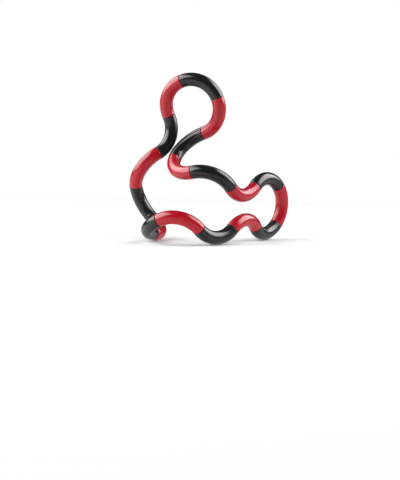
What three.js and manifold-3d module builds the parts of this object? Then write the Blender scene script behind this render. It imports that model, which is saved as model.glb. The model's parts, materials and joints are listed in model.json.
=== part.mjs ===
// Twisty snake puzzle: a closed ring of eighteen quarter-circle tube links, black and red in turn,
// each pair joined by a swivel that turns about the tube's own direction. The ring is modelled
// twisted up into a standing figure of loops.
//
// Units are millimetres, +Z up. The origin is on the table under the middle of the figure.
//
// Every link is built once in its own frame and repeated: the tube starts at the origin heading
// along +X, bends towards +Y about the centre (0, BEND_RADIUS, 0) and ends heading along +Y.

import * as THREE from 'three';
import { mergeVertices } from 'three/addons/utils/BufferGeometryUtils.js';
import Module from 'manifold-3d';

const wasm = await Module();
wasm.setup();

// ---- driving dimensions -------------------------------------------------------------------

const BEND_RADIUS = 20;          // from the bend's centre to the middle of the tube
const TUBE_RADIUS = 4.9;         // outside of the tube
const WALL = 1.2;                // thickness of a shell's wall and of its end webs
const JOINT_GAP = 0.3;           // free gap between the end faces of two links
const OPEN_PIVOT_GAP = 0.9;      // wider gap at the one swivel where the ring is opened
const SEAM_GAP = 0.3;            // gap between the two half shells of one link
const FIT_GAP = 0.3;             // clearance round the swivel plug

const NECK_RADIUS = 1.8;         // round part of the plug, turning in the next link's bore
const SQUARE_HALF_WIDTH = 1.8;   // square part of the plug, held in its own link's web
const FLANGE_RADIUS = 3;         // collar that keeps the plug in its own link
const HEAD_RADIUS = 2.6;         // snap head behind the next link's web
const HEAD_TIP_RADIUS = 1.5;
const FLANGE_THICKNESS = 1.2;
const HEAD_LENGTH = 2.4;
const SNAP_SLOT_WIDTH = 0.7;     // slot that lets the head squeeze through the bore

// Places along the plug, measured from the plane where the two links meet.
const PLUG_WEB_FACE = JOINT_GAP / 2 + WALL + FIT_GAP;
const PLUG_BACK = -PLUG_WEB_FACE - FLANGE_THICKNESS;
const PLUG_TIP = PLUG_WEB_FACE + HEAD_LENGTH;

// How far the plug of the open swivel is drawn back, so that its tip stays behind the web.
const OPEN_PLUG_DRAW_BACK = PLUG_TIP + OPEN_PIVOT_GAP / 2 + WALL + FIT_GAP;

const HOLE_CUT_DEPTH = 4 * WALL;        // long enough to go right through a web
const SLOT_CUT_WIDTH = 3 * HEAD_RADIUS; // wide enough to cross the snap head
const MERGE_DISTANCE = 1e-4;            // vertices closer than this are one vertex

const BEND_STEPS = 6;            // facets along a link's bend
const OUTER_SIDES = 12;          // facets round the outside of the tube
const INNER_SIDES = 10;          // facets round the hollow
const PLUG_SIDES = 8;

// ---- the pose -----------------------------------------------------------------------------

// How far each link is turned at its swivel from the one before it, in degrees: 0 carries on
// round the same circle and 180 makes an S bend. The ring's last swivel takes what is left over.
const TWISTS = [9, 243, 354, 271, 108, 180, 4, 349, 177, 204, 121, 316, 241, 47, 89, 138, 132];

const FIRST_LINK_TURNS = [-76, 18, -22];   // attitude of link 1 about X, Y and Z, in degrees
const STANDING_LINKS = [9, 11, 14];        // the links that touch the table
const OPEN_LINK = 14;                      // the ring is opened at the far end of this link

const QUARTER_TURN = Math.PI / 2;
const CLOSING_PASSES = 8;
const SETTLING_PASSES = 12;
const SLOPE_TURN = 1e-6;                   // small turn, in radians, that slopes are measured over

// ---- materials ----------------------------------------------------------------------------

const plastic = (color, roughness) => new THREE.MeshStandardMaterial({ color, roughness, metalness: 0 });
const blackPlastic = plastic(0x161618, 0.25);
const redPlastic = plastic(0xc41227, 0.3);
const plugPlastic = plastic(0x2b2b2e, 0.6);

// ---- solids -------------------------------------------------------------------------------

// The closed body of a geometry, ready for joining and cutting.
function toSolid(geometry) {
  const bare = geometry.clone();
  bare.deleteAttribute('normal');
  bare.deleteAttribute('uv');
  const merged = mergeVertices(bare, MERGE_DISTANCE);
  return new wasm.Manifold(new wasm.Mesh({
    numProp: 3,
    vertProperties: new Float32Array(merged.attributes.position.array),
    triVerts: new Uint32Array(merged.index.array),
  }));
}

function toGeometry(solid) {
  const { vertProperties, triVerts } = solid.getMesh();
  const geometry = new THREE.BufferGeometry();
  geometry.setAttribute('position', new THREE.BufferAttribute(vertProperties, 3));
  geometry.setIndex(new THREE.BufferAttribute(triVerts, 1));
  geometry.computeVertexNormals();
  return geometry;
}

// The middle line of a link, or of a stretch of it between two angles round the bend.
class BendCurve extends THREE.Curve {
  constructor(startAngle, endAngle) {
    super();
    this.startAngle = startAngle;
    this.endAngle = endAngle;
  }

  getPoint(t) {
    const angle = THREE.MathUtils.lerp(this.startAngle, this.endAngle, t);
    return new THREE.Vector3(
      BEND_RADIUS * Math.sin(angle),
      BEND_RADIUS * (1 - Math.cos(angle)),
      0,
    );
  }
}

// A section swept round the bend, stopping short of the link's near and far joint planes.
// Its x runs along -Z of the link and its y towards the bend's centre.
function sweep(section, nearMargin, farMargin, steps) {
  const path = new BendCurve(nearMargin / BEND_RADIUS, QUARTER_TURN - farMargin / BEND_RADIUS);
  return toSolid(new THREE.ExtrudeGeometry(section, { steps, extrudePath: path }));
}

function regularPolygon(radius, sides) {
  const points = [];
  for (let i = 0; i < sides; i += 1) {
    const angle = (i / sides) * 2 * Math.PI;
    points.push(new THREE.Vector2(radius * Math.cos(angle), radius * Math.sin(angle)));
  }
  return new THREE.Shape(points);
}

// Half of the tube's section, on the side that sideSign gives, kept half the seam gap off the middle.
function halfSection(sideSign) {
  const offset = SEAM_GAP / 2;
  const startAngle = Math.asin(offset / TUBE_RADIUS);
  const halfSides = OUTER_SIDES / 2;
  const points = [];
  for (let i = 0; i <= halfSides; i += 1) {
    const angle = startAngle + (i / halfSides) * (Math.PI - 2 * startAngle);
    points.push(new THREE.Vector2(
      -sideSign * TUBE_RADIUS * Math.sin(angle),
      TUBE_RADIUS * Math.cos(angle),
    ));
  }
  return new THREE.Shape(points);
}

// Square hole through the web at the link's far end: it holds the plug's square part.
function squareHole() {
  const side = 2 * (SQUARE_HALF_WIDTH + FIT_GAP);
  const box = new THREE.BoxGeometry(side, HOLE_CUT_DEPTH, side);
  box.translate(BEND_RADIUS, BEND_RADIUS, 0);
  return toSolid(box);
}

// Round hole through the web at the link's near end: the plug of the link before turns in it.
function roundHole() {
  const cornerRadius = (NECK_RADIUS + FIT_GAP) / Math.cos(Math.PI / PLUG_SIDES);
  const cylinder = new THREE.CylinderGeometry(cornerRadius, cornerRadius, HOLE_CUT_DEPTH, PLUG_SIDES);
  cylinder.rotateZ(QUARTER_TURN);
  return toSolid(cylinder);
}

// Moulded half shell: half of the bent tube, hollow, with a web across each end.
function halfShell(sideSign, nearGap, farGap) {
  const near = nearGap / 2;
  const far = farGap / 2;
  const outside = sweep(halfSection(sideSign), near, far, BEND_STEPS);
  const bore = regularPolygon(TUBE_RADIUS - WALL, INNER_SIDES);
  const hollow = sweep(bore, near + WALL, far + WALL, BEND_STEPS - 1);
  return outside.subtract(hollow).subtract(squareHole()).subtract(roundHole());
}

// Round parts of the swivel plug, turned about +Y: flange, neck and snap head.
function turnedPlug() {
  const outline = [
    [0, PLUG_BACK],
    [FLANGE_RADIUS, PLUG_BACK],
    [FLANGE_RADIUS, -PLUG_WEB_FACE],
    [NECK_RADIUS, -PLUG_WEB_FACE],
    [NECK_RADIUS, PLUG_WEB_FACE],
    [HEAD_RADIUS, PLUG_WEB_FACE],
    [HEAD_TIP_RADIUS, PLUG_TIP],
    [0, PLUG_TIP],
  ].map(([radius, along]) => new THREE.Vector2(radius, along));
  return toSolid(new THREE.LatheGeometry(outline, PLUG_SIDES));
}

// Square part of the plug, from the middle of its flange to the plane where the links meet.
function squarePart() {
  const side = 2 * SQUARE_HALF_WIDTH;
  const length = PLUG_WEB_FACE + FLANGE_THICKNESS / 2;
  const box = new THREE.BoxGeometry(side, length, side);
  box.translate(0, -length / 2, 0);
  return toSolid(box);
}

// The slot starts just past the plane where the links meet and runs out through the snap head.
function snapSlot() {
  const slot = new THREE.BoxGeometry(SLOT_CUT_WIDTH, PLUG_TIP, SNAP_SLOT_WIDTH);
  slot.translate(0, JOINT_GAP + PLUG_TIP / 2, 0);
  return toSolid(slot);
}

function swivelPlug() {
  return turnedPlug().add(squarePart()).subtract(snapSlot());
}

// ---- closing the ring ---------------------------------------------------------------------

// Where a chain with these twists (radians) ends, seen from its first link: the end point and the
// sideways parts of the end direction. All five are zero when the ring is closed.
function closingError(twists) {
  const end = new THREE.Matrix4();
  const step = new THREE.Matrix4();
  for (const twist of [...twists, 0]) {
    end.multiply(step.makeTranslation(BEND_RADIUS, BEND_RADIUS, 0));
    end.multiply(step.makeRotationZ(QUARTER_TURN));
    end.multiply(step.makeRotationX(twist));
  }
  const point = new THREE.Vector3().setFromMatrixPosition(end).divideScalar(BEND_RADIUS);
  const heading = new THREE.Vector3().setFromMatrixColumn(end, 0);
  return [point.x, point.y, point.z, heading.y, heading.z];
}

// Solves the square set of equations a x = b by Gaussian elimination with row swaps.
function solveLinear(a, b) {
  const rows = a.map((row, i) => [...row, b[i]]);
  const size = rows.length;
  for (let column = 0; column < size; column += 1) {
    let pivot = column;
    for (let i = column + 1; i < size; i += 1) {
      if (Math.abs(rows[i][column]) > Math.abs(rows[pivot][column])) pivot = i;
    }
    [rows[column], rows[pivot]] = [rows[pivot], rows[column]];
    for (let i = 0; i < size; i += 1) {
      if (i === column) continue;
      const factor = rows[i][column] / rows[column][column];
      for (let j = column; j <= size; j += 1) rows[i][j] -= factor * rows[column][j];
    }
  }
  return rows.map((row, i) => row[size] / row[i]);
}

// Nudges every twist by the least amount, all together, that makes the last link meet the first.
function closeRing(twistsInDegrees) {
  const twists = twistsInDegrees.map(THREE.MathUtils.degToRad);
  const dot = (a, b) => a.reduce((sum, value, i) => sum + value * b[i], 0);
  for (let pass = 0; pass < CLOSING_PASSES; pass += 1) {
    const error = closingError(twists);
    const slopes = twists.map((_, i) => {
      const nudged = twists.map((twist, j) => (i === j ? twist + SLOPE_TURN : twist));
      return closingError(nudged).map((value, j) => (value - error[j]) / SLOPE_TURN);
    });
    const slopeRows = error.map((_, i) => slopes.map((slope) => slope[i]));
    const weights = solveLinear(slopeRows.map((row) => slopeRows.map((other) => dot(row, other))), error);
    twists.forEach((_, i) => {
      twists[i] -= dot(slopes[i], weights);
    });
  }
  return twists;
}

// ---- assembly -----------------------------------------------------------------------------

const linkName = (number) => `link_${String(number).padStart(2, '0')}`;

function namedMesh(name, geometry, material) {
  const mesh = new THREE.Mesh(geometry, material);
  mesh.name = name;
  return mesh;
}

// Both half shells of a link whose near and far ends leave these gaps to their neighbours.
function shellPair(nearGap, farGap) {
  return {
    left: toGeometry(halfShell(1, nearGap, farGap)),
    right: toGeometry(halfShell(-1, nearGap, farGap)),
  };
}

const plainShells = shellPair(JOINT_GAP, JOINT_GAP);
const shellsOpenAtFarEnd = shellPair(JOINT_GAP, OPEN_PIVOT_GAP);
const shellsOpenAtNearEnd = shellPair(OPEN_PIVOT_GAP, JOINT_GAP);
const plugGeometry = toGeometry(swivelPlug());

function shellsOf(number) {
  if (number === OPEN_LINK) return shellsOpenAtFarEnd;
  if (number === OPEN_LINK + 1) return shellsOpenAtNearEnd;
  return plainShells;
}

// Stands the plug at the link's far end, or drawn back along the bend into the link's hollow.
function placePlug(plug, drawBack) {
  const angle = QUARTER_TURN - drawBack / BEND_RADIUS;
  plug.position.copy(new BendCurve(0, angle).getPoint(1));
  plug.rotation.z = angle - QUARTER_TURN;
}

// One link in its own frame: two half shells and the plug that joins it to the next link.
function makeLink(number) {
  const name = linkName(number);
  const shellPlastic = number % 2 === 1 ? blackPlastic : redPlastic;
  const shells = shellsOf(number);
  const plug = namedMesh(`${name}_swivel_plug`, plugGeometry, plugPlastic);
  placePlug(plug, number === OPEN_LINK ? OPEN_PLUG_DRAW_BACK : 0);
  const link = new THREE.Group();
  link.add(
    namedMesh(`${name}_left_shell`, shells.left, shellPlastic),
    namedMesh(`${name}_right_shell`, shells.right, shellPlastic),
    plug,
  );
  return link;
}

// Hangs every link on the far end of the one before it, turned at the swivel by its twist.
function makeRing() {
  const twists = closeRing(TWISTS);
  const ring = new THREE.Group();
  const first = makeLink(1);
  ring.add(first);
  let previous = first;
  twists.forEach((twist, i) => {
    const link = makeLink(i + 2);
    link.position.set(BEND_RADIUS, BEND_RADIUS, 0);
    link.rotation.set(twist, 0, QUARTER_TURN, 'ZXY');
    previous.add(link);
    previous = link;
  });
  ring.rotation.set(...FIRST_LINK_TURNS.map(THREE.MathUtils.degToRad), 'XYZ');
  return ring;
}

// The lowest corner of one link of the ring, where it stands now.
function lowestPoint(ring, number) {
  const lowest = new THREE.Vector3(0, 0, Infinity);
  const point = new THREE.Vector3();
  for (const side of ['left', 'right']) {
    const shell = ring.getObjectByName(`${linkName(number)}_${side}_shell`);
    const corners = shell.geometry.attributes.position;
    for (let i = 0; i < corners.count; i += 1) {
      point.fromBufferAttribute(corners, i).applyMatrix4(shell.matrixWorld);
      if (point.z < lowest.z) lowest.copy(point);
    }
  }
  return lowest;
}

// Tips the figure until its three standing links touch the table, then centres it over the origin.
function setDownOnTable(ring) {
  const up = new THREE.Vector3(0, 0, 1);
  for (let pass = 0; pass < SETTLING_PASSES; pass += 1) {
    ring.updateMatrixWorld(true);
    const feet = STANDING_LINKS.map((number) => lowestPoint(ring, number));
    const { normal } = new THREE.Plane().setFromCoplanarPoints(...feet);
    if (normal.z < 0) normal.negate();
    ring.quaternion.premultiply(new THREE.Quaternion().setFromUnitVectors(normal, up));
  }
  ring.updateMatrixWorld(true);
  const box = new THREE.Box3().setFromObject(ring, true);
  const middle = box.getCenter(new THREE.Vector3());
  ring.position.set(-middle.x, -middle.y, -box.min.z);
}

const snakePuzzle = makeRing();
setDownOnTable(snakePuzzle);

export default snakePuzzle;
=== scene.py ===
"""Looks of a twisty snake puzzle: a ring of quarter-circle tube links, black and red in turn.

The file is laid out as an add-on and is run as a script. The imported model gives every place: a link runs
from one swivel to the next, and its bend lies in the plane of the two headings there. All lengths are in
metres. In a link's own axes x is the heading at its near end, y the heading at its far end, and z
points across the bend.
"""

import json
import math

import bpy
import numpy as np
from bpy.props import FloatProperty, FloatVectorProperty, PointerProperty
from mathutils import Matrix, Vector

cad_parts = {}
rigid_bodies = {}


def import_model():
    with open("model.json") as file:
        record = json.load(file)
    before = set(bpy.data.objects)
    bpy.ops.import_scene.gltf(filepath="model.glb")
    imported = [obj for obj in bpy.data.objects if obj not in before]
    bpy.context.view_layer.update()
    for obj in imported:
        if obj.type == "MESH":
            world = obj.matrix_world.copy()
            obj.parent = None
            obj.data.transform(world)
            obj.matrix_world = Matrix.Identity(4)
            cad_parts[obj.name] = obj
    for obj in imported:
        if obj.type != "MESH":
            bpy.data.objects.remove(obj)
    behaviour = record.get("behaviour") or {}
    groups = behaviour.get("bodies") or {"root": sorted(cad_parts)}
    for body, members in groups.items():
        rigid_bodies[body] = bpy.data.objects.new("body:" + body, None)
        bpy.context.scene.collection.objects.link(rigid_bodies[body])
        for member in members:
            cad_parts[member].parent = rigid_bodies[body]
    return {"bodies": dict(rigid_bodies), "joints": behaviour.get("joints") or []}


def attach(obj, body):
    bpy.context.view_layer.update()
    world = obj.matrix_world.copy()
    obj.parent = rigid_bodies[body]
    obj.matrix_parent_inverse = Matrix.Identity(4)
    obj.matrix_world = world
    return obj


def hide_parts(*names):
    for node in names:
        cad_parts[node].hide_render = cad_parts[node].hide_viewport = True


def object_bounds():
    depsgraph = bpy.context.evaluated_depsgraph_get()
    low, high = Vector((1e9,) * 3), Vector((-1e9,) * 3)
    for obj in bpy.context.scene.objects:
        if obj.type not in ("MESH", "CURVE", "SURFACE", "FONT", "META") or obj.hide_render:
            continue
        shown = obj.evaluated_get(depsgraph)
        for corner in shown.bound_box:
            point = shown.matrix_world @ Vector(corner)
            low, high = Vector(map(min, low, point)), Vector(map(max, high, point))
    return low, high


bl_info = {
    "name": "Twisty Snake Puzzle",
    "version": (1, 0, 0),
    "blender": (4, 5, 0),
    "location": "3D View > Sidebar > Snake Puzzle",
    "description": "Builds the half shells, swivel plugs and studio of a twisty snake puzzle",
    "category": "Add Mesh",
}

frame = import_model()
CAD_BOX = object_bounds()
CAD_MIDDLE = np.mean(CAD_BOX, axis=0)

LINK_COUNT = len(frame["bodies"])
MM = 0.001

ALONG_STEPS = 36        # surface steps along a link's bend
ROUND_STEPS = 26        # surface steps round half of the tube
EDGE_STEPS = 5          # surface steps round a small edge
FACE_STEPS = 3          # surface steps across an end face
PLUG_STEPS = 24         # surface steps round half of a swivel plug
SHARP_ANGLE = math.radians(38)
ROUND = 2.0             # power of a round section
SQUARE = 9.0            # power of a square section with eased corners
WEAR_REACH = 1.1 * MM   # how far the scuffs reach from a link's end, falling off as they go
PLASTIC_IOR = 1.5

TABLE_HALF_WIDTH = 1.5
TABLE_SOLID_REACH = 0.22    # the table is solid this near the middle
TABLE_CLEAR_REACH = 0.65    # and clear past this
TABLE_CLEARANCE = 0.1 * MM
CAMERA_CLIP = (0.01, 20.0)
BOX_FADE = (0.25, 0.5)      # where a softbox fades, as shares of its width from its middle


# ---- settings -------------------------------------------------------------------------------------


def length(name, description, default):
    """A length property, in metres."""
    return FloatProperty(name=name, description=description, default=default, min=0.0,
                         unit="LENGTH", precision=5)


def angle(name, description, degrees):
    """An angle property, given in degrees."""
    return FloatProperty(name=name, description=description, default=math.radians(degrees), subtype="ANGLE")


def colour(name, description, default):
    """A colour property, in linear light."""
    return FloatVectorProperty(name=name, description=description, default=default, subtype="COLOR",
                               size=3, min=0.0, max=1.0)


def level(name, description, default):
    """A plain strength, from nothing upwards."""
    return FloatProperty(name=name, description=description, default=default, min=0.0)


class SNAKE_PG_link(bpy.types.PropertyGroup):
    """Sizes of a link's two half shells."""

    tube_radius: length("Tube radius", "Outside radius of the tube", 4.74 * MM)
    wall: length("Wall", "Thickness of a shell's wall and of its end webs", 1.2 * MM)
    joint_gap: length("Joint gap", "Free gap between the end faces of two links", 0.3 * MM)
    open_gap: length("Open pivot gap", "Gap at the one swivel where the ring is opened", 0.9 * MM)
    seam_gap: length("Seam gap", "Width of the parting line between the half shells", 0.05 * MM)
    edge_round: length("Edge rounding", "Radius at the rim of an end face", 0.3 * MM)
    seam_round: length("Seam rounding", "Radius along the parting line", 0.09 * MM)
    hole_radius: length("Hole radius", "Radius of the round hole in the near web", 2.1 * MM)
    square_hole: length("Square hole", "Half width of the square hole in the far web", 2.1 * MM)


class SNAKE_PG_plug(bpy.types.PropertyGroup):
    """Sizes of the plug that joins two links."""

    neck_radius: length("Neck radius", "Round part that turns in the next link", 1.8 * MM)
    square_half: length("Square part", "Half width of the square part held in its own link", 1.8 * MM)
    flange_radius: length("Flange radius", "Collar inside its own link", 3.0 * MM)
    flange_depth: length("Flange depth", "Thickness of the collar", 1.2 * MM)
    head_radius: length("Head radius", "Shoulder of the snap head", 2.6 * MM)
    tip_radius: length("Tip radius", "Front of the snap head", 1.5 * MM)
    head_length: length("Head length", "Length of the snap head", 2.4 * MM)
    slot_width: length("Slot width", "Slot that lets the snap head squeeze through", 0.7 * MM)
    clearance: length("Clearance", "Free gap between the plug and the webs", 0.3 * MM)
    edge_round: length("Edge rounding", "Radius along the plug's outer edges", 0.2 * MM)


class SNAKE_PG_finish(bpy.types.PropertyGroup):
    """Colours and gloss of the three plastics."""

    black: colour("Black", "Moulded black plastic", (0.0052, 0.0049, 0.0058))
    red: colour("Red", "Moulded red plastic", (0.235, 0.0016, 0.0078))
    plug: colour("Plug", "Dark plastic of the swivel plugs", (0.012, 0.012, 0.014))
    roughness: FloatProperty(name="Roughness", description="Roughness of the links", default=0.17,
                             min=0.0, max=1.0, subtype="FACTOR")


class SNAKE_PG_studio(bpy.types.PropertyGroup):
    """Floor, light and camera."""

    floor: colour("Floor", "Pale table under the puzzle", (0.5, 0.5, 0.505))
    left_light: level("Left light", "Brightness of the big softbox on the left", 6.4)
    rear_light: level("Rear light", "Brightness of the dimmer panel behind that softbox", 2.2)
    right_light: level("Right light", "Brightness of the softbox on the right", 7.6)
    front_light: level("Front light", "Brightness of the card behind the camera", 3.2)
    table_light: level("Table light", "Glow that the puzzle gets from the table under it", 1.0)
    fill: level("Fill", "Soft light from all round", 0.3)
    backdrop: level("Backdrop", "Brightness of the room that the table fades into", 1.0)
    dark: level("Dark room", "Brightness of what the gloss mirrors between the boxes", 0.06)
    floor_glow: level("Floor glow", "Brightness of the floor that the gloss mirrors", 0.5)
    left_glow: level("Left glow", "Extra brightness of that floor towards the left box", 0.9)
    right_glow: level("Right glow", "Extra brightness of that floor towards the right box", 0.3)
    lens: FloatProperty(name="Lens", description="Focal length of the camera, in millimetres",
                        default=71.5, min=10.0)
    distance: length("Distance", "From the camera to the puzzle's middle", 0.675)
    height: length("Height", "Of the camera over the table", 0.0657)
    sideways: FloatProperty(name="Sideways", description="Of the camera from the puzzle's middle",
                            default=-0.0092, unit="LENGTH", precision=4)
    pan: angle("Pan", "How far the camera looks to its right", 0.23)
    tilt: angle("Tilt", "How far the camera looks down", 5.49)
    roll: angle("Roll", "How far the camera leans to its left", 1.25)


class SNAKE_PG_puzzle(bpy.types.PropertyGroup):
    """Everything a user would change."""

    link: PointerProperty(type=SNAKE_PG_link)
    plug: PointerProperty(type=SNAKE_PG_plug)
    finish: PointerProperty(type=SNAKE_PG_finish)
    studio: PointerProperty(type=SNAKE_PG_studio)


# ---- the ring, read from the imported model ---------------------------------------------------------


def ring_swivels():
    """Bend radius, and the place and heading of the swivel at each link's far end, one row per link.

    A quarter bend of radius R that starts with heading a and ends with heading b carries the tube
    by R * (a + b). The one swivel that is not a joint follows from the two beside it by that rule.
    """
    places = np.full((LINK_COUNT, 3), np.nan)
    headings = np.full((LINK_COUNT, 3), np.nan)
    for joint in frame["joints"]:
        row = int(joint["name"].split("_")[-1]) - 1
        places[row] = joint["pos_m"]
        headings[row] = joint["axis"]
    radius = float(np.linalg.norm(places[1] - places[0]) / math.sqrt(2))
    row = int(np.flatnonzero(np.isnan(places[:, 0]))[0])
    before, after = row - 1, (row + 1) % LINK_COUNT
    carried = (places[after] - places[before]) / radius
    headings[row] = (carried - headings[before] - headings[after]) / 2
    places[row] = places[before] + radius * (headings[before] + headings[row])
    return radius, places, headings, row


BEND_RADIUS, SWIVEL_PLACES, SWIVEL_HEADINGS, OPEN_ROW = ring_swivels()


def link_axes(row):
    """Origin and axes of a link, as rows."""
    x_axis = SWIVEL_HEADINGS[row - 1]
    y_axis = SWIVEL_HEADINGS[row]
    axes = np.stack([x_axis, y_axis, np.cross(x_axis, y_axis)])
    return SWIVEL_PLACES[row - 1], axes


def link_name(row):
    """Name of the link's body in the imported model."""
    return f"link_{row + 1:02d}"


# ---- meshes ---------------------------------------------------------------------------------------


def outward(points, quads):
    """The quads, turned round if the surface they close has a negative volume."""
    a, b, c, d = (points[quads[:, i]] for i in range(4))
    volume = np.einsum("ij,ij->", a, np.cross(b, c) + np.cross(c, d))
    return quads if volume > 0 else quads[:, ::-1]


def grid_quads(index):
    """Quads between the neighbouring rows and columns of a grid of point numbers."""
    corners = [index[:-1, :-1], index[:-1, 1:], index[1:, 1:], index[1:, :-1]]
    return np.stack(corners, axis=-1).reshape(-1, 4)


def make_piece(name, points, faces, material, rim=None):
    """A smooth-shaded mesh object, with an attribute for how near each point is to a worn rim."""
    mesh = bpy.data.meshes.new(name)
    mesh.from_pydata(points, [], faces)
    mesh.polygons.foreach_set("use_smooth", np.ones(len(mesh.polygons), bool))
    mesh.set_sharp_from_angle(angle=SHARP_ANGLE)
    if rim is not None:
        wear = mesh.attributes.new("rim", "FLOAT", "POINT")
        wear.data.foreach_set("value", rim.astype(np.float32))
    mesh.materials.append(material)
    mesh.validate()
    mesh.update()
    piece = bpy.data.objects.new(name, mesh)
    bpy.context.scene.collection.objects.link(piece)
    return piece


def settle(piece, row, node):
    """Lets a piece stand for its node and ride on its link."""
    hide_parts(node)
    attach(piece, link_name(row))


def section(radius, power, depth, sizes):
    """Points round half a section, from one side of the parting line to the other.

    The outline is |y|^p + |z|^p = radius^p, a circle at p = 2 and a rounded square at large p. The
    first and last columns run round a small quarter circle that eases the edge at the parting line
    by the given depth. Rows are the profile's points; columns run round the section.
    """
    radius, power, depth = (np.asarray(a, float)[:, None] for a in (radius, power, depth))
    turn = np.linspace(0.0, math.pi / 2, EDGE_STEPS)[None]
    lift = sizes.seam_gap / 2 + sizes.seam_round * (1 - np.cos(turn))
    eased = radius - depth * (1 - np.sin(turn))
    side = (eased**power - lift**power) ** (1 / power)
    lift = np.broadcast_to(lift, side.shape)
    start = np.arctan2(lift[:, -1:], side[:, -1:])
    around = start + (math.pi - 2 * start) * np.linspace(0.0, 1.0, ROUND_STEPS)[None]
    cos, sin = np.cos(around), np.sin(around)
    reach = radius / (np.abs(cos) ** power + np.abs(sin) ** power) ** (1 / power)
    middle = slice(1, -1)
    y = np.hstack([side, (reach * cos)[:, middle], -side[:, ::-1]])
    z = np.hstack([lift, (reach * sin)[:, middle], lift[:, ::-1]])
    return y, z


def shell_profile(sizes, near_gap, far_gap):
    """The outside and the inside of a shell's wall, point against point, and the section's power there.

    Both run from the near web's hole, out across the web, along the tube and in across the far web
    to its hole.
    """
    near = near_gap / 2
    far = BEND_RADIUS * math.pi / 2 - far_gap / 2
    turn = np.linspace(0.0, math.pi / 2, EDGE_STEPS)

    def line(start, stop, radius, edge):
        across_near = np.linspace(sizes.hole_radius, radius - edge, FACE_STEPS, endpoint=False)
        across_far = np.linspace(sizes.square_hole, radius - edge, FACE_STEPS, endpoint=False)
        along = np.concatenate([
            np.full(FACE_STEPS, start),
            start + edge * (1 - np.cos(turn)),
            np.linspace(start + edge, stop - edge, ALONG_STEPS)[1:-1],
            stop - edge * (1 - np.cos(turn[::-1])),
            np.full(FACE_STEPS, stop),
        ])
        rounded = radius - edge * (1 - np.sin(turn))
        out = np.concatenate([
            across_near, rounded, np.full(ALONG_STEPS - 2, radius), rounded[::-1], across_far[::-1],
        ])
        return along, out

    outside = line(near, far, sizes.tube_radius, sizes.edge_round)
    inside = line(near + sizes.wall, far - sizes.wall, sizes.tube_radius - sizes.wall, sizes.edge_round)
    power = np.full(len(outside[0]), ROUND)
    power[-FACE_STEPS:] = np.linspace(ROUND, SQUARE, FACE_STEPS)
    return outside, inside, power


def half_shell(sizes, side, near_gap, far_gap):
    """Points, faces and rim wear of one half shell in its link's own axes.

    The wall's profile is carried round half of the tube, and then along the bend: a point y outwards
    from the bend's centre line lies at R * (sin t, 1 - cos t) + y * (-sin t, cos t) at the turn t. Two
    flat strips along the parting line close it.
    """
    (along_out, radius_out), (along_in, radius_in), power = shell_profile(sizes, near_gap, far_gap)
    count = len(along_out)
    full_face = sizes.tube_radius - sizes.edge_round
    across = (radius_out - sizes.hole_radius) / (full_face - sizes.hole_radius)
    easing = sizes.seam_round * np.clip(across, 0, 1)
    y_out, z_out = section(radius_out, power, easing, sizes)
    y_in, z_in = section(radius_in, power, np.zeros(count), sizes)

    y = np.vstack([y_out, y_in[::-1]])
    z = side * np.vstack([z_out, z_in[::-1]])
    along = np.concatenate([along_out, along_in[::-1]])[:, None]
    bend = along / BEND_RADIUS
    points = np.stack([
        BEND_RADIUS * np.sin(bend) - y * np.sin(bend),
        BEND_RADIUS * (1 - np.cos(bend)) + y * np.cos(bend),
        z,
    ], axis=-1)
    rows, columns = y.shape

    index = np.arange(rows * columns).reshape(rows, columns)
    wall = grid_quads(np.vstack([index, index[:1]]))
    outer, inner = index[:count], index[count:][::-1]
    strips = [
        grid_quads(np.stack([inner[:, 0], outer[:, 0]], axis=-1)),
        grid_quads(np.stack([outer[:, -1], inner[:, -1]], axis=-1)),
    ]
    points = points.reshape(-1, 3)
    faces = outward(points, np.vstack([wall, *strips]))

    to_end = np.minimum(along_out - along_out[0], along_out[-1] - along_out)
    rim = np.zeros((rows, columns))
    rim[:count] = np.exp(-to_end / WEAR_REACH)[:, None]
    return points, faces, rim.ravel()


def place(points, row):
    """Points given in a link's own axes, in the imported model's axes."""
    origin, axes = link_axes(row)
    return origin + points @ axes


# ---- swivel plug ----------------------------------------------------------------------------------


def plug_profile(link, plug):
    """The plug's outline from its back to its tip: rows of place along the plug, radius and power.

    Each outer corner is eased by a quarter turn between the two faces that meet there, given as unit steps
    (along, outwards) of the way in and the way out.
    """
    web_face = link.joint_gap / 2 + link.wall + plug.clearance
    back = -web_face - plug.flange_depth
    tip = web_face + plug.head_length
    taper = math.hypot(plug.head_length, plug.head_radius - plug.tip_radius)
    slope = (plug.head_length / taper, (plug.tip_radius - plug.head_radius) / taper)
    outwards, forwards, inwards = (0.0, 1.0), (1.0, 0.0), (0.0, -1.0)
    turn = np.linspace(0.0, math.pi / 2, EDGE_STEPS)[:, None]

    def corner(along, radius, way_in, way_out, power):
        start, end = np.array(way_in), np.array(way_out)
        eased = (along, radius) + plug.edge_round * (end * (1 - np.cos(turn)) - start * (1 - np.sin(turn)))
        return np.hstack([eased, np.full((EDGE_STEPS, 1), power)])

    return np.vstack([
        corner(back, plug.flange_radius, outwards, forwards, ROUND),
        corner(-web_face, plug.flange_radius, forwards, inwards, ROUND),
        [(-web_face, plug.square_half, SQUARE), (0.0, plug.square_half, SQUARE)],
        [(0.0, plug.neck_radius, ROUND), (web_face, plug.neck_radius, ROUND)],
        corner(web_face, plug.head_radius, outwards, slope, ROUND),
        corner(tip, plug.tip_radius, slope, inwards, ROUND),
    ])


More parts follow.
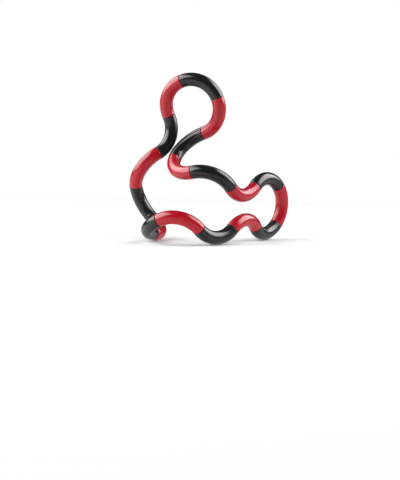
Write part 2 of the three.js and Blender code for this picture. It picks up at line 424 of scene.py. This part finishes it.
def swivel_plug(link, plug):
    """Points and faces of a swivel plug, with y along it and the plane where the links meet at y = 0.

    Each profile point gives a ring |x|^p + |z|^p = r^p. Past the slot's floor a ring is split in two: the
    points on either side of the slot stay clear of it, and a flat wall joins their ends.
    """
    profile = plug_profile(link, plug)
    slot_floor = link.joint_gap
    split = int(np.flatnonzero(profile[:, 0] > slot_floor)[0])
    floor_row = [slot_floor, plug.neck_radius, ROUND]
    profile = np.vstack([profile[:split], floor_row, profile[split:]])
    along, radius, power = (profile[:, i, None] for i in range(3))

    half_slot = plug.slot_width / 2
    start = np.arcsin(half_slot / radius)
    turn = start + (math.pi - 2 * start) * np.linspace(0.0, 1.0, PLUG_STEPS)[None]
    cos, sin = np.cos(turn), np.sin(turn)
    reach = radius / (np.abs(cos) ** power + np.abs(sin) ** power) ** (1 / power)
    x, z = reach * cos, reach * sin
    ring = np.stack([np.hstack([x, -x]), np.broadcast_to(along, (len(along), 2 * PLUG_STEPS)),
                     np.hstack([z, -z])], axis=-1)
    points = ring.reshape(-1, 3)

    index = np.arange(len(points)).reshape(len(profile), 2 * PLUG_STEPS)
    halves = index[:, :PLUG_STEPS], index[:, PLUG_STEPS:]
    body = slice(0, split + 1)
    quads = [grid_quads(half) for half in halves]
    quads += [grid_quads(np.stack([halves[0][body, -1], halves[1][body, 0]], axis=-1)),
              grid_quads(np.stack([halves[1][body, -1], halves[0][body, 0]], axis=-1))]
    prongs = slice(split, None)
    quads += [grid_quads(np.stack([half[prongs, -1], half[prongs, 0]], axis=-1)) for half in halves]
    slot_corners = [halves[0][split, 0], halves[0][split, -1], halves[1][split, 0], halves[1][split, -1]]
    ends = [index[0], halves[0][-1][::-1], halves[1][-1][::-1], np.array(slot_corners)[::-1]]
    faces = [quad.tolist() for quad in np.vstack(quads)] + [end.tolist() for end in ends]
    return points, faces


def plug_in_link(points, draw_back):
    """The plug's points in its link's axes, slid back along the bend from the far end by the given length."""
    bend = math.pi / 2 - draw_back / BEND_RADIUS
    heading = np.array([math.cos(bend), math.sin(bend), 0.0])
    inward = np.array([-math.sin(bend), math.cos(bend), 0.0])
    middle = BEND_RADIUS * np.array([math.sin(bend), 1 - math.cos(bend), 0.0])
    upright = np.array([0.0, 0.0, 1.0])
    return middle + points @ np.stack([-inward, heading, upright])


# ---- finishes -------------------------------------------------------------------------------------


def map_range(tree, value, span, to_span, smooth=False):
    """An output that carries a value from one span to another and holds it beyond, eased if smooth."""
    node = tree.nodes.new("ShaderNodeMapRange")
    if smooth:
        node.interpolation_type = "SMOOTHSTEP"
    for socket, number in zip(("From Min", "From Max", "To Min", "To Max"), (*span, *to_span)):
        node.inputs[socket].default_value = number
    tree.links.new(value, node.inputs["Value"])
    return node.outputs["Result"]


class Finish:
    """A node material in the making: adds nodes and links them by the names of their sockets."""

    def __init__(self, name):
        self.material = bpy.data.materials.new(name)
        self.material.use_nodes = True
        self.tree = self.material.node_tree
        self.shader = self.tree.nodes["Principled BSDF"]
        self.coordinates = self.add("ShaderNodeTexCoord").outputs["Object"]

    def add(self, kind, **values):
        """A new node with its own settings and socket values, each given by name."""
        node = self.tree.nodes.new(kind)
        for key, value in values.items():
            if hasattr(node, key):
                setattr(node, key, value)
            else:
                node.inputs[key.replace("_", " ")].default_value = value
        return node

    def join(self, output, node, socket):
        """Links an output to a node's input, named or numbered."""
        self.tree.links.new(output, node.inputs[socket])

    def noise(self, size, detail=3.0, stretch=None):
        """Noise whose features are about the given size in metres, drawn out along an axis by stretch."""
        texture = self.add("ShaderNodeTexNoise", Scale=1.0 / size, Detail=detail)
        source = self.coordinates
        if stretch is not None:
            mapping = self.add("ShaderNodeMapping")
            mapping.inputs["Scale"].default_value = stretch["scale"]
            mapping.inputs["Rotation"].default_value = stretch["turn"]
            self.join(source, mapping, "Vector")
            source = mapping.outputs["Vector"]
        self.join(source, texture, "Vector")
        return texture.outputs["Fac"]

    def ramp(self, value, low, high, to_low, to_high):
        """The value, carried from low..high to to_low..to_high and held there."""
        return map_range(self.tree, value, (low, high), (to_low, to_high))

    def maths(self, operation, first, second):
        """Two values, added, multiplied or compared; either may be a plain number."""
        node = self.add("ShaderNodeMath", operation=operation)
        for socket, value in enumerate((first, second)):
            if isinstance(value, (int, float)):
                node.inputs[socket].default_value = value
            else:
                self.join(value, node, socket)
        return node.outputs["Value"]

    def blend(self, share, first, second):
        """Two colours mixed by a share."""
        node = self.add("ShaderNodeMix", data_type="RGBA")
        node.inputs["A"].default_value = (*first, 1.0)
        node.inputs["B"].default_value = (*second, 1.0)
        self.join(share, node, "Factor")
        return node.outputs["Result"]

    def bump(self, height, distance, strength, under=None):
        """A bump of the given height in metres, laid over another one."""
        node = self.add("ShaderNodeBump", Strength=strength, Distance=distance)
        self.join(height, node, "Height")
        if under is not None:
            self.join(under, node, "Normal")
        return node.outputs["Normal"]


def scaled(rgb, factor, lift=0.0):
    """A colour made darker or lighter, and greyer by lift."""
    return tuple(min(1.0, channel * factor + lift) for channel in rgb)


def moulded_gloss(name, rgb, roughness):
    """Glossy moulded plastic: faint flow marks, handling smudges, fine scratches and scuffed end rims."""
    finish = Finish(name)
    shader = finish.shader
    flow_size, smudge_size, peel_size, scuff_size = 14 * MM, 5 * MM, 1.1 * MM, 0.5 * MM
    peel_height, scratch_depth = 0.006 * MM, 0.004 * MM
    smudge_haze, scratch_haze, scuff_haze = 0.07, 0.10, 0.16   # what each adds to the roughness
    scuff_paleness = 0.55
    flow = finish.noise(flow_size, detail=2.0)
    smudge = finish.noise(smudge_size, detail=4.0)
    peel = finish.noise(peel_size, detail=1.0)
    scratch_a = finish.noise(1.0, detail=2.0, stretch={"scale": (4200, 160, 160), "turn": (0.3, 0.9, 0.5)})
    scratch_b = finish.noise(1.0, detail=2.0, stretch={"scale": (150, 3800, 150), "turn": (0.8, 0.2, 1.1)})
    scuff = finish.noise(scuff_size, detail=5.0)
    rim = finish.add("ShaderNodeAttribute", attribute_name="rim").outputs["Fac"]

    scratches = finish.maths(
        "MAXIMUM", finish.ramp(scratch_a, 0.70, 0.76, 0.0, 1.0), finish.ramp(scratch_b, 0.71, 0.77, 0.0, 1.0))
    worn = finish.maths("MULTIPLY", rim, finish.ramp(scuff, 0.48, 0.66, 0.0, 1.0))

    body = finish.blend(finish.ramp(flow, 0.35, 0.65, 0.0, 1.0), scaled(rgb, 0.93), scaled(rgb, 1.06))
    edge = finish.add("ShaderNodeMix", data_type="RGBA")
    edge.inputs["B"].default_value = (*scaled(rgb, 1.25, lift=0.012), 1.0)
    finish.join(body, edge, "A")
    finish.join(finish.maths("MULTIPLY", worn, scuff_paleness), edge, "Factor")
    finish.join(edge.outputs["Result"], shader, "Base Color")

    gloss = finish.maths("ADD", finish.ramp(smudge, 0.42, 0.68, roughness, roughness + smudge_haze),
                         finish.maths("MULTIPLY", scratches, scratch_haze))
    gloss = finish.maths("ADD", gloss, finish.maths("MULTIPLY", worn, scuff_haze))
    finish.join(gloss, shader, "Roughness")

    normal = finish.bump(peel, peel_height, 0.35)
    normal = finish.bump(scratches, scratch_depth, -0.5, under=normal)
    finish.join(normal, shader, "Normal")
    shader.inputs["IOR"].default_value = PLASTIC_IOR
    return finish.material


def moulded_satin(name, rgb):
    """Satin plastic of the plugs, with a fine spark-eroded grain and rubbed patches."""
    finish = Finish(name)
    shader = finish.shader
    grain_size, grain_height, patch_size = 0.12 * MM, 0.01 * MM, 1.5 * MM
    grain = finish.noise(grain_size, detail=3.0)
    rubbed = finish.noise(patch_size, detail=3.0)
    body = finish.blend(finish.ramp(rubbed, 0.4, 0.65, 0.0, 1.0), scaled(rgb, 0.85), scaled(rgb, 1.3))
    finish.join(body, shader, "Base Color")
    finish.join(finish.ramp(rubbed, 0.4, 0.65, 0.55, 0.38), shader, "Roughness")
    finish.join(finish.bump(grain, grain_height, 0.5), shader, "Normal")
    shader.inputs["IOR"].default_value = PLASTIC_IOR
    return finish.material


def fading_white(name, rgb):
    """Plain matte white that turns clear with the distance from the scene's middle."""
    finish = Finish(name)
    finish.shader.inputs["Base Color"].default_value = (*rgb, 1.0)
    finish.shader.inputs["Roughness"].default_value = 0.9
    reach = finish.add("ShaderNodeVectorMath", operation="LENGTH")
    finish.join(finish.coordinates, reach, 0)
    solid = finish.ramp(reach.outputs["Value"], TABLE_SOLID_REACH, TABLE_CLEAR_REACH, 1.0, 0.0)
    finish.join(solid, finish.shader, "Alpha")
    return finish.material


# ---- operators ------------------------------------------------------------------------------------


class SNAKE_OT_link_shells(bpy.types.Operator):
    """Build the two moulded half shells of every link, black and red in turn"""

    bl_idname = "snake_puzzle.link_shells"
    bl_label = "Link shells"

    def execute(self, context):
        settings = context.scene.snake_puzzle
        sizes, finish = settings.link, settings.finish
        plastics = [
            ("black_plastic", moulded_gloss("black_gloss_plastic", finish.black, finish.roughness)),
            ("red_plastic", moulded_gloss("red_gloss_plastic", finish.red, finish.roughness)),
        ]
        for row in range(LINK_COUNT):
            near_gap = sizes.open_gap if row == (OPEN_ROW + 1) % LINK_COUNT else sizes.joint_gap
            far_gap = sizes.open_gap if row == OPEN_ROW else sizes.joint_gap
            slot, material = plastics[row % 2]
            for side_name, side in (("left", 1), ("right", -1)):
                points, faces, rim = half_shell(sizes, side, near_gap, far_gap)
                node = f"{link_name(row)}_{side_name}_shell"
                piece = make_piece(f"{node}_moulding", place(points, row), faces, material, rim)
                settle(piece, row, node)
        return {"FINISHED"}


class SNAKE_OT_swivel_plugs(bpy.types.Operator):
    """Build the plug that joins each link to the next one"""

    bl_idname = "snake_puzzle.swivel_plugs"
    bl_label = "Swivel plugs"

    def execute(self, context):
        settings = context.scene.snake_puzzle
        link, plug = settings.link, settings.plug
        material = moulded_satin("plug_satin_plastic", settings.finish.plug)
        points, faces = swivel_plug(link, plug)
        tip = points[:, 1].max()
        drawn_back = tip + link.open_gap / 2 + link.wall + plug.clearance
        for row in range(LINK_COUNT):
            in_link = plug_in_link(points, drawn_back if row == OPEN_ROW else 0.0)
            node = f"{link_name(row)}_swivel_plug"
            piece = make_piece(f"{node}_moulding", place(in_link, row), faces, material)
            settle(piece, row, node)
        return {"FINISHED"}


class SNAKE_OT_studio(bpy.types.Operator):
    """Set up the pale table, the softboxes, the room and the camera"""

    bl_idname = "snake_puzzle.studio"
    bl_label = "Studio"

    def execute(self, context):
        settings = context.scene.snake_puzzle.studio
        build_table(settings)
        build_lights(settings)
        build_room(settings)
        build_camera(context.scene, settings)
        return {"FINISHED"}


# ---- studio ---------------------------------------------------------------------------------------


def build_table(settings):
    """A square table top under the puzzle that fades into the pale room all round."""
    points = np.array([(-1, -1, 0), (1, -1, 0), (1, 1, 0), (-1, 1, 0)]) * TABLE_HALF_WIDTH
    points[:, 2] = CAD_BOX[0][2]
    table = make_piece("table", points, [(0, 1, 2, 3)], fading_white("table_white", settings.floor))
    table.visible_glossy = False


def softbox(name, brightness, bearing, height_angle, distance, size, mirrored=True):
    """A rectangular area light that faces the puzzle's middle, as bright as the given radiance.

    Both angles are in degrees. The bearing is measured from the camera's side towards the right, and
    the height angle from the level. The power for a radiance L over an area A is L * pi * A.
    """
    bearing, height_angle = math.radians(bearing), math.radians(height_angle)
    level_reach = distance * math.cos(height_angle)
    offset = (level_reach * math.sin(bearing), -level_reach * math.cos(bearing),
              distance * math.sin(height_angle))
    light = bpy.data.lights.new(name, "AREA")
    light.shape = "RECTANGLE"
    light.size, light.size_y = size
    light.energy = brightness * math.pi * size[0] * size[1]
    fade_edges(light)
    lamp = bpy.data.objects.new(name, light)
    lamp.matrix_world = Matrix.Translation(CAD_MIDDLE + offset) @ aim_matrix(-np.array(offset))
    lamp.visible_camera = False
    lamp.visible_glossy = mirrored
    bpy.context.scene.collection.objects.link(lamp)


def fade_edges(light):
    """Fades a box light towards its rim: full brightness in the middle half, smoothly down to nothing."""
    light.use_nodes = True
    tree = light.node_tree
    across = tree.nodes.new("ShaderNodeSeparateXYZ")
    tree.links.new(tree.nodes.new("ShaderNodeNewGeometry").outputs["Parametric"], across.inputs["Vector"])
    strength = tree.nodes.new("ShaderNodeMath")
    strength.operation = "MULTIPLY"
    for socket, axis in enumerate("XY"):
        off_middle = tree.nodes.new("ShaderNodeMath")
        off_middle.operation = "SUBTRACT"
        off_middle.inputs[1].default_value = 0.5
        tree.links.new(across.outputs[axis], off_middle.inputs[0])
        reach = tree.nodes.new("ShaderNodeMath")
        reach.operation = "ABSOLUTE"
        tree.links.new(off_middle.outputs["Value"], reach.inputs[0])
        fade = map_range(tree, reach.outputs["Value"], BOX_FADE, (1.0, 0.0), smooth=True)
        tree.links.new(fade, strength.inputs[socket])
    tree.links.new(strength.outputs["Value"], tree.nodes["Emission"].inputs["Strength"])


def aim_matrix(direction):
    """Turns an object's -z axis along a direction, with its y axis as near upright as it goes."""
    back = -np.asarray(direction, float)
    back /= np.linalg.norm(back)
    upright = (0.0, 0.0, 1.0) if abs(back[2]) < 0.99 else (0.0, 1.0, 0.0)
    side = np.cross(upright, back)
    side /= np.linalg.norm(side)
    axes = np.stack([side, np.cross(back, side), back], axis=1)
    matrix = np.eye(4)
    matrix[:3, :3] = axes
    return Matrix(matrix.tolist())


def build_lights(settings):
    """A big softbox on the left, a smaller one on the right, a card in front and a glow from the table."""
    to_table = CAD_MIDDLE[2] - CAD_BOX[0][2] - TABLE_CLEARANCE
    softbox("left_box", settings.left_light, bearing=-84, height_angle=34, distance=0.85, size=(1.35, 1.15))
    softbox("rear_panel", settings.rear_light, bearing=-130, height_angle=33, distance=0.95,
            size=(0.70, 0.90))
    softbox("right_box", settings.right_light, bearing=100, height_angle=35, distance=0.85, size=(1.05, 1.05))
    softbox("front_card", settings.front_light, bearing=0, height_angle=8, distance=1.2, size=(1.2, 0.8),
            mirrored=False)
    softbox("table_glow", settings.table_light, bearing=0, height_angle=-90, distance=to_table,
            size=(0.8, 0.8), mirrored=False)


def build_room(settings):
    """A room that looks white past the table and fills softly all round.

    The gloss mirrors another one: dark above the level, and below it a pale table that is dimmest in
    the middle and grows brighter towards the boxes on the left and the right. Strengths are set by the
    kind of ray, and the table's by the ray's direction, whose parts run from -1 to 1.
    """
    world = bpy.data.worlds.new("room")
    world.use_nodes = True
    tree = world.node_tree
    room = tree.nodes["Background"]
    rays = tree.nodes.new("ShaderNodeLightPath")
    direction = tree.nodes.new("ShaderNodeSeparateXYZ")
    tree.links.new(tree.nodes.new("ShaderNodeTexCoord").outputs["Generated"], direction.inputs["Vector"])

    def ramp(axis, span, to_span=(0.0, 1.0)):
        return map_range(tree, direction.outputs[axis], span, to_span)

    def pick(share, first, second):
        node = tree.nodes.new("ShaderNodeMix")
        tree.links.new(share, node.inputs["Factor"])
        for socket, value in (("A", first), ("B", second)):
            if isinstance(value, float):
                node.inputs[socket].default_value = value
            else:
                tree.links.new(value, node.inputs[socket])
        return node.outputs["Result"]

    left_end, middle, right_end = -0.9, (-0.1, 0.1), 0.8
    above_level, below_level = 0.02, -0.12
    glow = settings.floor_glow
    left_side = ramp("X", (left_end, middle[0]), (glow + settings.left_glow, glow))
    right_side = ramp("X", (middle[1], right_end), (glow, glow + settings.right_glow))
    table = pick(ramp("X", middle), left_side, right_side)
    mirrored = pick(ramp("Z", (above_level, below_level)), settings.dark, table)
    strength = pick(rays.outputs["Is Glossy Ray"], settings.fill, mirrored)
    strength = pick(rays.outputs["Is Camera Ray"], strength, settings.backdrop)
    tree.links.new(strength, room.inputs["Strength"])
    room.inputs["Color"].default_value = (1.0, 1.0, 1.0, 1.0)
    world.cycles.sampling_method = "NONE"   # light that depends on the kind of ray has to be met by a ray
    bpy.context.scene.world = world


def build_camera(scene, settings):
    """A camera about level with the puzzle's middle, tilted down and leaning a little."""
    camera = bpy.data.cameras.new("camera")
    camera.lens = settings.lens
    camera.clip_start, camera.clip_end = CAMERA_CLIP
    viewer = bpy.data.objects.new("camera", camera)
    ahead = math.cos(settings.tilt)
    turn = aim_matrix((
        ahead * math.sin(settings.pan),
        ahead * math.cos(settings.pan),
        -math.sin(settings.tilt),
    ))
    place_at = (settings.sideways, -settings.distance, settings.height)
    viewer.matrix_world = Matrix.Translation(place_at) @ turn @ Matrix.Rotation(settings.roll, 4, "Z")
    scene.collection.objects.link(viewer)
    scene.camera = viewer
    scene.view_settings.view_transform = "Standard"


# ---- panel and registration -----------------------------------------------------------------------


class SNAKE_PT_puzzle(bpy.types.Panel):
    """The puzzle's operators and settings."""

    bl_label = "Snake Puzzle"
    bl_idname = "SNAKE_PT_puzzle"
    bl_space_type = "VIEW_3D"
    bl_region_type = "UI"
    bl_category = "Snake Puzzle"

    def draw(self, context):
        for operator in OPERATORS:
            self.layout.operator(operator.bl_idname)
        settings = context.scene.snake_puzzle
        for group in (settings.link, settings.plug, settings.finish, settings.studio):
            box = self.layout.box()
            for key in group.bl_rna.properties.keys():
                if key not in ("rna_type", "name"):
                    box.prop(group, key)


OPERATORS = (SNAKE_OT_link_shells, SNAKE_OT_swivel_plugs, SNAKE_OT_studio)
CLASSES = (SNAKE_PG_link, SNAKE_PG_plug, SNAKE_PG_finish, SNAKE_PG_studio, SNAKE_PG_puzzle,
           *OPERATORS, SNAKE_PT_puzzle)


def register():
    """Registers every class and hangs the settings on the scene."""
    for cls in CLASSES:
        bpy.utils.register_class(cls)
    bpy.types.Scene.snake_puzzle = PointerProperty(type=SNAKE_PG_puzzle)


def unregister():
    """Takes the settings and the classes away again."""
    del bpy.types.Scene.snake_puzzle
    for cls in reversed(CLASSES):
        bpy.utils.unregister_class(cls)


def main():
    """Builds the whole scene, piece by piece."""
    register()
    bpy.ops.snake_puzzle.link_shells()
    bpy.ops.snake_puzzle.swivel_plugs()
    bpy.ops.snake_puzzle.studio()


if __name__ == "__main__":
    main()
